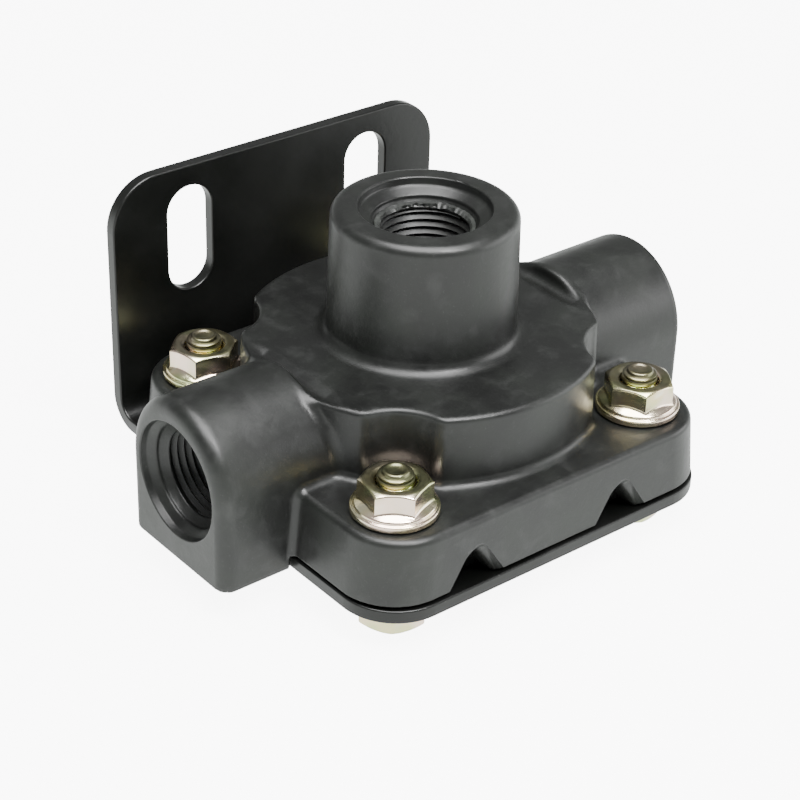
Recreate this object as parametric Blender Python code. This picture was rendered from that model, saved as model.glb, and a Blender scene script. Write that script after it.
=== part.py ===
"""Quick exhaust valve: moulded body with three threaded ports on a folded steel bracket.

The supply port stands on top, a delivery port leaves on each side and the exhaust leaves
through the bracket's floor. A rubber diaphragm under a light spring covers the exhaust seat
and lifts against the inlet seat. Metres, +Z up. Every piece hangs on the empty valve_datum,
which lies on the valve's axis in the plane of the bracket floor's upper face.
"""

import math

import bmesh
import bpy
from mathutils import Vector

MM = 0.001

# Fits
SEAT_GAP = 0.3 * MM
OVERSHOOT = 2.0 * MM

# Fasteners: quarter inch bolts and serrated flange nuts on a square pattern
BOLT_PITCH = 55.3 * MM
BOLT_RADIUS = 3.175 * MM
BOLT_HEAD_HEIGHT = 5.9 * MM
BOLT_PROTRUSION = 1.7 * MM
BOLT_POINT_CHAMFER = 0.8 * MM
HEX_ACROSS_FLATS = 11.1 * MM
NUT_HEIGHT = 6.0 * MM
NUT_FLANGE_RADIUS = 7.55 * MM
NUT_FLANGE_EDGE = 1.0 * MM
NUT_FLANGE_RISE = 1.7 * MM
NUT_TURNS = (200.3, 238.0, 222.0, 15.0)
HEAD_TURNS = (231.0, 12.0, 47.0, 25.0)

# Bracket: one folded sheet, a floor under the valve and an upright behind it
SHEET = 2.5 * MM
BEND_RADIUS = 3.5 * MM
FLOOR_LEDGE = 0.45 * MM
UPRIGHT_SETBACK = 6.4 * MM
UPRIGHT_TOP = 46.4 * MM
UPRIGHT_HALF_WIDTH = 36.6 * MM
UPRIGHT_CORNER = 9.5 * MM
SLOT_SPACING = 40.4 * MM
SLOT_WIDTH = 9.6 * MM
SLOT_LENGTH = 20.8 * MM
SLOT_HEIGHT = 31.9 * MM

# Body: flange, drum and wrench pockets
CORNER_MARGIN = 10.75 * MM
FLANGE_HEIGHT = 12.7 * MM
FLANGE_EDGE = 1.2 * MM
REBATE_HEIGHT = 1.2 * MM
REBATE_DEPTH = 1.4 * MM
DRUM_RADIUS = 31.9 * MM
DRUM_LEDGE = 2.5 * MM
DRUM_HEIGHT = 13.1 * MM
DRUM_EDGE = 1.0 * MM
DRUM_FOOT = 1.3 * MM
POCKET_RADIUS = 9.8 * MM

# Body: notches in the front wall
NOTCH_LEFT = 18.3 * MM
NOTCH_RIGHT = 14.6 * MM
NOTCH_FOOT = 12.8 * MM
NOTCH_TOP = 3.6 * MM
NOTCH_HEIGHT = 7.1 * MM
NOTCH_DEPTH = 4.5 * MM

# Supply port on top
SUPPLY_RECESS_RADIUS = 11.7 * MM
SUPPLY_WALL = 4.75 * MM
SUPPLY_RISE = 23.5 * MM
SUPPLY_RIM = 1.9 * MM
SUPPLY_DRAFT = 0.5 * MM
SUPPLY_FOOT = 1.6 * MM

# Delivery ports on the sides
DELIVERY_REACH = 52.5 * MM
DELIVERY_AXIS = 13.3 * MM
DELIVERY_RECESS_RADIUS = 10.7 * MM
DELIVERY_WALL = 3.2 * MM
DELIVERY_RIM = 1.5 * MM
DELIVERY_INNER_END = 28.6 * MM
DELIVERY_INNER_ROUND = 3.0 * MM
VALLEY_RADIUS = 1.5 * MM

# Threaded bores, three eighths taper pipe thread, left plain
RECESS_DEPTH = 1.8 * MM
RECESS_CHAMFER = 0.5 * MM
LEDGE_RADIUS = 9.3 * MM
LEDGE_DEPTH = 3.4 * MM
THREAD_RADIUS = 7.8 * MM
THREAD_DEPTH = 13.0 * MM
PASSAGE_RADIUS = 6.4 * MM

# Exhaust cover, clamped between body and bracket floor
COVER_RIM_WIDTH = 4.0 * MM
COVER_RIM_HEIGHT = 3.2 * MM
COVER_STEP = 1.2 * MM
COVER_SPIGOT_RADIUS = 11.0 * MM
EXHAUST_RADIUS = 5.5 * MM
EXHAUST_SEAT_WALL = 2.0 * MM
EXHAUST_SEAT_RISE = 3.4 * MM
RING_RADIUS = 0.65 * MM
RING_INSET = 1.9 * MM

# Chamber, diaphragm and spring
CHAMBER_WALL = 8.4 * MM
CHAMBER_HEIGHT = 12.0 * MM
DIAPHRAGM_RADIUS = 16.0 * MM
DIAPHRAGM_THICKNESS = 2.5 * MM
DIAPHRAGM_EDGE = 0.8 * MM
DIAPHRAGM_TRAVEL = 2.0 * MM
INLET_SEAT_WALL = 2.2 * MM
SPRING_POCKET_RADIUS = 6.8 * MM
SPRING_POCKET_DEPTH = 11.0 * MM
INLET_RADIUS = 4.6 * MM
GUIDE_CLEARANCE = 0.4 * MM
GUIDE_THICKNESS = 2.6 * MM
SPRING_SEAT_THICKNESS = 1.2 * MM
SPRING_SEAT_PIN = 1.8 * MM
SPRING_SEAT_PIN_HEIGHT = 1.6 * MM
SPRING_WIRE = 0.45 * MM
SPRING_SIDE_PLAY = 1.2 * MM
SPRING_TURNS = 5.5

# Facets
ROUND_STEPS = 60
INNER_STEPS = 40
BORE_STEPS = 32
SMALL_STEPS = 20
CORNER_STEPS = 6
FILLET_STEPS = 3
WIRE_SIDES = 2
TURN_STEPS = 10

# Sizes that follow
FLANGE_HALF = max(BOLT_PITCH / 2 + CORNER_MARGIN, DRUM_RADIUS + DRUM_LEDGE)
FLANGE_FOOT = SEAT_GAP
DRUM_TOP = FLANGE_HEIGHT + DRUM_HEIGHT
SUPPLY_RADIUS = SUPPLY_RECESS_RADIUS + SUPPLY_WALL
SUPPLY_TOP = DRUM_TOP + SUPPLY_RISE
DELIVERY_RADIUS = DELIVERY_RECESS_RADIUS + DELIVERY_WALL
FLOOR_UNDERSIDE = -SHEET
FLOOR_HALF = FLANGE_HALF
FLOOR_FRONT = FLANGE_HALF + FLOOR_LEDGE
UPRIGHT_BACK = FLANGE_HALF + UPRIGHT_SETBACK
UPRIGHT_FRONT = UPRIGHT_BACK - SHEET
CHAMBER_RADIUS = DRUM_RADIUS - CHAMBER_WALL
COVER_RIM_RADIUS = CHAMBER_RADIUS + COVER_RIM_WIDTH
COVER_SHOULDER = SEAT_GAP + COVER_RIM_HEIGHT
COVER_TOP = COVER_SHOULDER + COVER_STEP
CHAMBER_ROOF = COVER_TOP + CHAMBER_HEIGHT
EXHAUST_SEAT = COVER_TOP + EXHAUST_SEAT_RISE
DIAPHRAGM_FOOT = EXHAUST_SEAT + SEAT_GAP
DIAPHRAGM_TOP = DIAPHRAGM_FOOT + DIAPHRAGM_THICKNESS
INLET_SEAT = DIAPHRAGM_TOP + DIAPHRAGM_TRAVEL + SEAT_GAP
SPRING_POCKET_ROOF = INLET_SEAT + SPRING_POCKET_DEPTH
SPRING_SEAT_FOOT = DIAPHRAGM_TOP + SEAT_GAP
SPRING_SEAT_TOP = SPRING_SEAT_FOOT + SPRING_SEAT_THICKNESS
SPRING_RADIUS = SPRING_POCKET_RADIUS - SPRING_SIDE_PLAY - SPRING_WIRE
NUT_FOOT = FLANGE_HEIGHT + SEAT_GAP
HEAD_TOP = FLOOR_UNDERSIDE - SEAT_GAP
BOLT_END = NUT_FOOT + NUT_HEIGHT + BOLT_PROTRUSION
BOLT_HOLE_RADIUS = BOLT_RADIUS + SEAT_GAP
BASE_DEPTH = SHEET + SEAT_GAP + BOLT_HEAD_HEIGHT
AXIS_PLACE = (FLOOR_FRONT - UPRIGHT_BACK) / 2
SIDES = (-1, 1)
BOLT_PLACES = [(x * BOLT_PITCH / 2, y * BOLT_PITCH / 2) for y in SIDES for x in SIDES]


def clear_scene():
    for obj in list(bpy.data.objects):
        bpy.data.objects.remove(obj, do_unlink=True)


def finish(name, color, roughness, metallic=0.0):
    material = bpy.data.materials.new(name)
    material.use_nodes = True
    shader = material.node_tree.nodes["Principled BSDF"]
    shader.inputs["Base Color"].default_value = (*color, 1.0)
    shader.inputs["Roughness"].default_value = roughness
    shader.inputs["Metallic"].default_value = metallic
    material.diffuse_color = (*color, 1.0)
    return material


def mesh_from(name, bm):
    bmesh.ops.recalc_face_normals(bm, faces=bm.faces)
    mesh = bpy.data.meshes.new(name)
    bm.to_mesh(mesh)
    bm.free()
    return mesh


def place(name, mesh, material=None, parent=None, location=(0, 0, 0), turn=0.0):
    """Put a mesh in the scene; without a material it is a hidden tool for Booleans."""
    obj = bpy.data.objects.new(name, mesh)
    bpy.context.scene.collection.objects.link(obj)
    obj.location = location
    obj.rotation_euler = (0, 0, turn)
    obj.parent = parent
    if material is None:
        obj.hide_render = True
        obj.display_type = "WIRE"
    elif not mesh.materials:
        mesh.materials.append(material)
    return obj


def combine(obj, tool, operation):
    modifier = obj.modifiers.new(tool.name, "BOOLEAN")
    modifier.operation = operation
    modifier.solver = "EXACT"
    modifier.object = tool


def cut(obj, *tools):
    for tool in tools:
        combine(obj, tool, "DIFFERENCE")


def join(obj, *tools):
    for tool in tools:
        combine(obj, tool, "UNION")


def baked(obj):
    """The mesh of an object with its modifiers worked in."""
    graph = bpy.context.evaluated_depsgraph_get()
    return bpy.data.meshes.new_from_object(obj.evaluated_get(graph))


def smooth(mesh, angle=35.0):
    mesh.shade_smooth()
    mesh.set_sharp_from_angle(angle=math.radians(angle))


def arc(center, radius, start, end, steps):
    """Points on an arc, angles in degrees, both ends included."""
    points = []
    for step in range(steps + 1):
        angle = math.radians(start + (end - start) * step / steps)
        points.append((center[0] + radius * math.cos(angle), center[1] + radius * math.sin(angle)))
    return points


def rounded_rectangle(half_x, half_y, radius, steps=CORNER_STEPS):
    points = []
    for turn, (sx, sy) in enumerate(((1, 1), (-1, 1), (-1, -1), (1, -1))):
        center = (sx * (half_x - radius), sy * (half_y - radius))
        points += arc(center, radius, 90 * turn, 90 * turn + 90, steps)
    return points


def oriented(point, height, along):
    u, v = point
    if along == "X":
        return (height, u, v)
    if along == "Y":
        return (u, height, v)
    return (u, v, height)


def stacked(name, layers, along="Z"):
    """A closed solid through outlines of equal count; a layer is an outline and its height."""
    bm = bmesh.new()
    rings = [[bm.verts.new(oriented(p, height, along)) for p in outline] for outline, height in layers]
    count = len(rings[0])
    for low, high in zip(rings, rings[1:]):
        for i in range(count):
            j = (i + 1) % count
            bm.faces.new((low[i], low[j], high[j], high[i]))
    bm.faces.new(rings[0])
    bm.faces.new(rings[-1])
    return mesh_from(name, bm)


def prism(name, outline, low, high, along="Z"):
    return stacked(name, [(outline, low), (outline, high)], along)


def turned(name, profile, steps, along="Z"):
    """Turn a closed profile of (radius, height) points about the axis."""
    bm = bmesh.new()
    rings = []
    for radius, height in profile:
        if radius < 1e-9:
            rings.append([bm.verts.new(oriented((0, 0), height, along))])
            continue
        outline = arc((0, 0), radius, 0, 360, steps)[:-1]
        rings.append([bm.verts.new(oriented(p, height, along)) for p in outline])
    for first, second in zip(rings, rings[1:] + rings[:1]):
        for i in range(steps):
            j = (i + 1) % steps
            corners = []
            for vert in (first[i % len(first)], first[j % len(first)],
                         second[j % len(second)], second[i % len(second)]):
                if vert not in corners:
                    corners.append(vert)
            if len(corners) > 2:
                bm.faces.new(corners)
    return mesh_from(name, bm)


def cylinder(name, radius, low, high, steps=BORE_STEPS, along="Z"):
    return turned(name, [(0, low), (radius, low), (radius, high), (0, high)], steps, along)


def edge_round(radius, height, fillet, outward=True):
    """Profile points that round an outer edge: from the wall over to the face, upwards."""
    center = (radius - fillet, height - fillet if outward else height + fillet)
    if outward:
        return arc(center, fillet, 0, 90, FILLET_STEPS)
    return arc(center, fillet, -90, 0, FILLET_STEPS)


def foot_round(radius, height, fillet):
    """Profile points of the inner fillet where a wall of this radius stands on a face."""
    return arc((radius + fillet, height + fillet), fillet, 270, 180, FILLET_STEPS)


def body_flange():
    outline = rounded_rectangle(FLANGE_HALF, FLANGE_HALF, CORNER_MARGIN)
    inner = FLANGE_HALF - REBATE_DEPTH
    foot = rounded_rectangle(inner, inner, CORNER_MARGIN - REBATE_DEPTH)
    rebate_top = FLANGE_FOOT + REBATE_HEIGHT
    layers = [(foot, -OVERSHOOT), (foot, rebate_top), (outline, rebate_top)]
    for inset, height in arc((-FLANGE_EDGE, FLANGE_HEIGHT - FLANGE_EDGE), FLANGE_EDGE, 0, 90, FILLET_STEPS):
        half = FLANGE_HALF + inset
        layers.append((rounded_rectangle(half, half, CORNER_MARGIN + inset), height))
    return stacked("flange", layers)


def body_drum(datum):
    """The drum with a wrench pocket round each nut."""
    profile = [(0, FLANGE_HEIGHT - OVERSHOOT), (DRUM_RADIUS, FLANGE_HEIGHT - OVERSHOOT)]
    profile += foot_round(DRUM_RADIUS, FLANGE_HEIGHT - SEAT_GAP, DRUM_FOOT)
    profile += edge_round(DRUM_RADIUS, DRUM_TOP, DRUM_EDGE)
    profile.append((0, DRUM_TOP))
    drum = place("drum", turned("drum", profile, ROUND_STEPS), parent=datum)
    floor = FLANGE_HEIGHT
    pocket = [(0, floor)]
    pocket += edge_round(POCKET_RADIUS, floor, DRUM_FOOT, outward=False)
    pocket += [(POCKET_RADIUS, DRUM_TOP + OVERSHOOT), (0, DRUM_TOP + OVERSHOOT)]
    mesh = turned("wrench_pocket", pocket, BORE_STEPS)
    for x, y in BOLT_PLACES:
        cut(drum, place("wrench_pocket", mesh, parent=datum, location=(x, y, 0)))
    return drum


def supply_boss():
    profile = [(0, DRUM_TOP - OVERSHOOT), (SUPPLY_RADIUS + SUPPLY_DRAFT, DRUM_TOP - OVERSHOOT)]
    profile += foot_round(SUPPLY_RADIUS + SUPPLY_DRAFT, DRUM_TOP - SEAT_GAP, SUPPLY_FOOT)
    profile += edge_round(SUPPLY_RADIUS, SUPPLY_TOP, SUPPLY_RIM)
    profile.append((0, SUPPLY_TOP))
    return turned("supply_boss", profile, ROUND_STEPS)


def arm_section(inset):
    """Round-backed section of a delivery arm, flat underneath."""
    radius = DELIVERY_RADIUS - inset
    points = arc((0, DELIVERY_AXIS), radius, 0, 180, ROUND_STEPS // 3)
    return points + [(-radius, FLOOR_UNDERSIDE), (radius, FLOOR_UNDERSIDE)]


def delivery_arm(side):
    layers = []
    inner = (DELIVERY_INNER_END + DELIVERY_INNER_ROUND, -DELIVERY_INNER_ROUND)
    for reach, inset in arc(inner, DELIVERY_INNER_ROUND, 180, 90, FILLET_STEPS):
        layers.append((arm_section(-inset), side * reach))
    outer = (DELIVERY_REACH - DELIVERY_RIM, -DELIVERY_RIM)
    for reach, inset in arc(outer, DELIVERY_RIM, 90, 0, FILLET_STEPS):
        layers.append((arm_section(-inset), side * reach))
    return stacked("delivery_arm", layers, "X")


def port_bore(recess_radius, face, direction, way_radius, way_end):
    """Stepped bore of a port: recess, ledge, tapping bore and a narrower way down to way_end."""
    thread_end = LEDGE_DEPTH + THREAD_DEPTH
    depths = [
        (0, -OVERSHOOT), (recess_radius + RECESS_CHAMFER, -OVERSHOOT),
        (recess_radius + RECESS_CHAMFER, 0), (recess_radius, RECESS_CHAMFER),
        (recess_radius, RECESS_DEPTH), (LEDGE_RADIUS, RECESS_DEPTH),
        (LEDGE_RADIUS, LEDGE_DEPTH), (THREAD_RADIUS, LEDGE_DEPTH),
        (THREAD_RADIUS, thread_end), (way_radius, thread_end + (THREAD_RADIUS - way_radius) / 2),
        (way_radius, abs(face - way_end)), (0, abs(face - way_end)),
    ]
    return [(radius, direction * (face - depth)) for radius, depth in depths]


def chamber():
    """Inner space of the body, open below: cover seat, chamber, inlet seat and spring pocket."""
    seat_outer = SPRING_POCKET_RADIUS + INLET_SEAT_WALL
    profile = [
        (0, -OVERSHOOT), (COVER_RIM_RADIUS + SEAT_GAP, -OVERSHOOT),
        (COVER_RIM_RADIUS + SEAT_GAP, COVER_SHOULDER + SEAT_GAP),
        (CHAMBER_RADIUS, COVER_SHOULDER + SEAT_GAP), (CHAMBER_RADIUS, CHAMBER_ROOF),
        (seat_outer, CHAMBER_ROOF), (seat_outer, INLET_SEAT), (SPRING_POCKET_RADIUS, INLET_SEAT),
        (SPRING_POCKET_RADIUS, SPRING_POCKET_ROOF), (0, SPRING_POCKET_ROOF),
    ]
    return turned("chamber", profile, INNER_STEPS)


def guide_rib():
    """Rib that keeps the diaphragm central in the chamber."""
    inner = DIAPHRAGM_RADIUS + GUIDE_CLEARANCE
    half = GUIDE_THICKNESS / 2
    outer = CHAMBER_RADIUS + OVERSHOOT
    outline = [(inner, -half), (outer, -half), (outer, half), (inner, half)]
    return prism("guide_rib", outline, COVER_TOP + SEAT_GAP, CHAMBER_ROOF + OVERSHOOT)


def notch(center):
    outline = [
        (center - NOTCH_FOOT / 2, -OVERSHOOT), (center + NOTCH_FOOT / 2, -OVERSHOOT),
        (center + NOTCH_FOOT / 2, FLANGE_FOOT), (center + NOTCH_TOP / 2, NOTCH_HEIGHT),
        (center - NOTCH_TOP / 2, NOTCH_HEIGHT), (center - NOTCH_FOOT / 2, FLANGE_FOOT),
    ]
    return prism("notch", outline, -FLANGE_HALF - OVERSHOOT, -FLANGE_HALF + NOTCH_DEPTH, "Y")


def build_body(datum):
    plastic = finish("black_nylon", (0.022, 0.022, 0.024), 0.5)
    body = place("valve_body", body_flange(), plastic, datum)
    join(body, body_drum(datum), place("supply_boss", supply_boss(), parent=datum))
    for side in SIDES:
        join(body, place("delivery_arm", delivery_arm(side), parent=datum))

    # The floor of the bracket lies between the arms and under the flange
    reach = FLANGE_HALF * 2
    floor_space = [(-FLOOR_HALF - SEAT_GAP, -reach), (FLOOR_HALF + SEAT_GAP, -reach),
                   (FLOOR_HALF + SEAT_GAP, reach), (-FLOOR_HALF - SEAT_GAP, reach)]
    low = FLOOR_UNDERSIDE - OVERSHOOT
    cut(body, place("floor_space", prism("floor_space", floor_space, low, FLANGE_FOOT), parent=datum))

    valley_length = DELIVERY_RADIUS
    for side in SIDES:
        groove = cylinder("valley", VALLEY_RADIUS, -valley_length, valley_length, SMALL_STEPS, "Y")
        spot = (side * (DELIVERY_INNER_END - VALLEY_RADIUS / 2), 0, DRUM_TOP + VALLEY_RADIUS / 4)
        cut(body, place("valley", groove, parent=datum, location=spot))

    supply = port_bore(SUPPLY_RECESS_RADIUS, SUPPLY_TOP, 1, INLET_RADIUS, SPRING_POCKET_ROOF - OVERSHOOT)
    cut(body, place("supply_bore", turned("supply_bore", supply, INNER_STEPS), parent=datum))
    cut(body, place("chamber", chamber(), parent=datum))
    for side in SIDES:
        port = port_bore(DELIVERY_RECESS_RADIUS, DELIVERY_REACH, side, PASSAGE_RADIUS,
                         CHAMBER_RADIUS - OVERSHOOT)
        bore = turned("delivery_bore", port, INNER_STEPS, "X")
        cut(body, place("delivery_bore", bore, parent=datum, location=(0, 0, DELIVERY_AXIS)))

    hole = cylinder("bolt_hole", BOLT_HOLE_RADIUS, -OVERSHOOT, FLANGE_HEIGHT + OVERSHOOT, SMALL_STEPS)
    for x, y in BOLT_PLACES:
        cut(body, place("bolt_hole", hole, parent=datum, location=(x, y, 0)))
    for center in (-NOTCH_LEFT, NOTCH_RIGHT):
        cut(body, place("notch", notch(center), parent=datum))
    rib = guide_rib()
    for quarter in range(4):
        join(body, place("guide_rib", rib, parent=datum, turn=math.radians(45 + 90 * quarter)))
    return body


def corner_relief(name, corner, radius, low, high, along="Z"):
    """Cutter that rounds a square corner; corner holds its place and its outward signs."""
    (u, v), (su, sv) = corner
    center = (u - su * radius, v - sv * radius)
    start = {(1, 1): 0, (-1, 1): 90, (-1, -1): 180, (1, -1): 270}[(su, sv)]
    points = arc(center, radius, start, start + 90, CORNER_STEPS)
    beyond = (u + su * OVERSHOOT, v + sv * OVERSHOOT)
    if su * sv > 0:
        outline = [(beyond[0], points[0][1]), *points, (points[-1][0], beyond[1]), beyond]
    else:
        outline = [(points[0][0], beyond[1]), *points, (beyond[0], points[-1][1]), beyond]
    return place(name, prism(name, outline, low, high, along))


def folded_profile():
    """Section of the folded sheet in the YZ plane, counterclockwise from the front edge."""
    inner = (UPRIGHT_FRONT - BEND_RADIUS, BEND_RADIUS)
    outer = arc(inner, BEND_RADIUS + SHEET, -90, 0, CORNER_STEPS)
    inside = arc(inner, BEND_RADIUS, 0, -90, CORNER_STEPS)
    return [(-FLOOR_FRONT, FLOOR_UNDERSIDE), *outer, (UPRIGHT_BACK, UPRIGHT_TOP),
            (UPRIGHT_FRONT, UPRIGHT_TOP), *inside, (-FLOOR_FRONT, 0)]


def slot_outline():
    radius = SLOT_WIDTH / 2
    half = SLOT_LENGTH / 2 - radius
    return arc((0, half), radius, 0, 180, 2 * CORNER_STEPS) + arc((0, -half), radius, 180, 360, 2 * CORNER_STEPS)


def build_bracket(datum):
    paint = finish("black_paint", (0.028, 0.028, 0.03), 0.38)
    sheet = prism("mounting_bracket", folded_profile(), -FLOOR_HALF, FLOOR_HALF, "X")
    bracket = place("mounting_bracket", sheet, paint, datum)
    low = FLOOR_UNDERSIDE - OVERSHOOT
    high = OVERSHOOT
    for side in SIDES:
        front = ((side * FLOOR_HALF, -FLOOR_FRONT), (side, -1))
        relief = corner_relief("front_corner", front, CORNER_MARGIN, low, high)
        top = ((side * UPRIGHT_HALF_WIDTH, UPRIGHT_TOP), (side, 1))
        shoulder = corner_relief("top_corner", top, UPRIGHT_CORNER,
                                 UPRIGHT_FRONT - OVERSHOOT, UPRIGHT_BACK + OVERSHOOT, "Y")
        edge = side * UPRIGHT_HALF_WIDTH
        far = side * (FLOOR_HALF + OVERSHOOT)
        start = FLANGE_HALF - CORNER_MARGIN / 2
        trim = [(edge, start), (far, start), (far, UPRIGHT_BACK + OVERSHOOT), (edge, UPRIGHT_BACK + OVERSHOOT)]
        side_trim = place("side_trim", prism("side_trim", trim, low, UPRIGHT_TOP + OVERSHOOT))
        for tool in (relief, side_trim, shoulder):
            tool.parent = datum
            cut(bracket, tool)
        slot = prism("slot", slot_outline(), UPRIGHT_FRONT - OVERSHOOT, UPRIGHT_BACK + OVERSHOOT, "Y")
        spot = (side * SLOT_SPACING / 2, 0, SLOT_HEIGHT)
        cut(bracket, place("slot", slot, parent=datum, location=spot))

    hole = cylinder("floor_hole", BOLT_HOLE_RADIUS, low, high, SMALL_STEPS)
    for x, y in BOLT_PLACES:
        cut(bracket, place("floor_hole", hole, parent=datum, location=(x, y, 0)))
    outlet = cylinder("outlet", COVER_SPIGOT_RADIUS + SEAT_GAP, low, high, ROUND_STEPS)
    cut(bracket, place("outlet", outlet, parent=datum))
    return bracket


def build_cover(datum):
    """Exhaust cover: rim with a ring groove, raised floor, exhaust seat and spigot."""
    seat_outer = EXHAUST_RADIUS + EXHAUST_SEAT_WALL
    floor_radius = CHAMBER_RADIUS - SEAT_GAP
    groove_center = COVER_RIM_RADIUS - RING_INSET
    groove_half = RING_RADIUS + SEAT_GAP
    groove_floor = COVER_SHOULDER - 2 * RING_RADIUS - SEAT_GAP
    profile = [
        (EXHAUST_RADIUS, FLOOR_UNDERSIDE), (COVER_SPIGOT_RADIUS, FLOOR_UNDERSIDE),
        (COVER_SPIGOT_RADIUS, SEAT_GAP), (COVER_RIM_RADIUS, SEAT_GAP),
        (COVER_RIM_RADIUS, COVER_SHOULDER), (groove_center + groove_half, COVER_SHOULDER),
        (groove_center + groove_half, groove_floor), (groove_center - groove_half, groove_floor),
        (groove_center - groove_half, COVER_SHOULDER), (floor_radius, COVER_SHOULDER),
        (floor_radius, COVER_TOP), (seat_outer + EXHAUST_SEAT_WALL, COVER_TOP),
        (seat_outer, EXHAUST_SEAT), (EXHAUST_RADIUS, EXHAUST_SEAT),
    ]
    mesh = turned("exhaust_cover", profile, INNER_STEPS)
    place("exhaust_cover", mesh, finish("cover_nylon", (0.03, 0.03, 0.03), 0.55), datum)

    height = groove_floor + SEAT_GAP + RING_RADIUS
    section = [(groove_center + u, height + v) for u, v in arc((0, 0), RING_RADIUS, 0, 360, 6)[:-1]]
    ring = turned("cover_o_ring", section, INNER_STEPS)
    place("cover_o_ring", ring, finish("ring_rubber", (0.015, 0.015, 0.015), 0.7), datum)


def spring_route():
    """Centre line of the spring: closed end turns and an open middle."""
    low = SPRING_SEAT_TOP + SEAT_GAP + SPRING_WIRE
    high = SPRING_POCKET_ROOF - SEAT_GAP - SPRING_WIRE
    closed = 2 * SPRING_WIRE + SEAT_GAP
    open_pitch = (high - low - 2 * closed) / (SPRING_TURNS - 2)
    count = int(SPRING_TURNS * TURN_STEPS)
    points = []
    for step in range(count + 1):
        turn = SPRING_TURNS * step / count
        height = low + closed * min(turn, 1) + open_pitch * min(max(turn - 1, 0), SPRING_TURNS - 2)
        height += closed * max(turn - SPRING_TURNS + 1, 0)
        angle = 2 * math.pi * turn
        points.append((SPRING_RADIUS * math.cos(angle), SPRING_RADIUS * math.sin(angle), height))
    return points


def build_spring(datum):
    curve = bpy.data.curves.new("diaphragm_spring", "CURVE")
    curve.dimensions = "3D"
    curve.bevel_depth = SPRING_WIRE
    curve.bevel_resolution = WIRE_SIDES
    curve.use_fill_caps = True
    route = spring_route()
    spline = curve.splines.new("POLY")
    spline.points.add(len(route) - 1)
    for point, (x, y, z) in zip(spline.points, route):
        point.co = (x, y, z, 1)
    curve.materials.append(finish("spring_steel", (0.6, 0.6, 0.6), 0.3, 1.0))
    spring = bpy.data.objects.new("diaphragm_spring", curve)
    bpy.context.scene.collection.objects.link(spring)
    spring.parent = datum


def build_diaphragm(datum):
    """The moving pieces: a rubber disc and the seat that the spring stands on."""
    lift = bpy.data.objects.new("diaphragm_lift", None)
    bpy.context.scene.collection.objects.link(lift)
    lift.parent = datum
    lift.location = (0, 0, DIAPHRAGM_FOOT)

    profile = [(0, 0)]
    profile += edge_round(DIAPHRAGM_RADIUS, 0, DIAPHRAGM_EDGE, outward=False)
    profile += edge_round(DIAPHRAGM_RADIUS, DIAPHRAGM_THICKNESS, DIAPHRAGM_EDGE)
    profile.append((0, DIAPHRAGM_THICKNESS))
    disc = turned("diaphragm", profile, INNER_STEPS)
    place("diaphragm", disc, finish("diaphragm_rubber", (0.02, 0.02, 0.02), 0.65), lift)

    foot = DIAPHRAGM_THICKNESS + SEAT_GAP
    top = foot + SPRING_SEAT_THICKNESS
    seat_radius = SPRING_RADIUS + 2 * SPRING_WIRE
    seat = turned("spring_seat", [
        (0, foot), (seat_radius, foot), (seat_radius, top), (SPRING_SEAT_PIN, top),
        (SPRING_SEAT_PIN, top + SPRING_SEAT_PIN_HEIGHT), (0, top + SPRING_SEAT_PIN_HEIGHT),
    ], BORE_STEPS)
    place("spring_seat", seat, finish("seat_brass", (0.6, 0.45, 0.2), 0.35, 1.0), lift)


def hexagon():
    return arc((0, 0), HEX_ACROSS_FLATS / math.sqrt(3), 0, 360, 6)[:-1]


def hex_with_chamfer(name, low, high, upward):
    """Hexagonal prism whose corners are turned off at one end."""
    body = place(name, prism(name, hexagon(), low, high))
    flat = HEX_ACROSS_FLATS / 2 * 0.96
    wide = HEX_ACROSS_FLATS
    drop = (wide - flat) * math.tan(math.radians(30))
    ends = [(0, high), (flat, high), (wide, high - drop), (wide, low - OVERSHOOT), (0, low - OVERSHOOT)]
    if not upward:
        ends = [(0, low), (flat, low), (wide, low + drop), (wide, high + OVERSHOOT), (0, high + OVERSHOOT)]
    combine(body, place("chamfer", turned("chamfer", ends, BORE_STEPS)), "INTERSECT")
    return body


def seat_flange(name, foot, direction):
    """Sloped flange of a nut or head, its flat side at foot."""
    root = HEX_ACROSS_FLATS / 2
    edge = foot + direction * NUT_FLANGE_EDGE
    crest = edge + direction * NUT_FLANGE_RISE
    profile = [(0, foot), (NUT_FLANGE_RADIUS, foot), (NUT_FLANGE_RADIUS, edge), (root, crest), (0, crest)]
    return place(name, turned(name, profile, BORE_STEPS))


def bolt_mesh():
    head_foot = HEAD_TOP - BOLT_HEAD_HEIGHT
    head = hex_with_chamfer("bolt", head_foot, HEAD_TOP - NUT_FLANGE_EDGE / 2, upward=False)
    join(head, seat_flange("head_flange", HEAD_TOP, -1))
    tip = BOLT_RADIUS - BOLT_POINT_CHAMFER
    shank = [(0, HEAD_TOP - BOLT_HEAD_HEIGHT / 2), (BOLT_RADIUS, HEAD_TOP - BOLT_HEAD_HEIGHT / 2),
             (BOLT_RADIUS, BOLT_END - BOLT_POINT_CHAMFER), (tip, BOLT_END), (0, BOLT_END)]
    join(head, place("shank", turned("shank", shank, SMALL_STEPS)))
    return baked(head)


def nut_mesh():
    nut = hex_with_chamfer("nut", NUT_FOOT + NUT_FLANGE_EDGE / 2, NUT_FOOT + NUT_HEIGHT, upward=True)
    join(nut, seat_flange("nut_flange", NUT_FOOT, 1))
    low = NUT_FOOT - OVERSHOOT
    high = NUT_FOOT + NUT_HEIGHT + OVERSHOOT
    cut(nut, place("nut_bore", cylinder("nut_bore", BOLT_HOLE_RADIUS, low, high, SMALL_STEPS)))
    return baked(nut)


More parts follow.
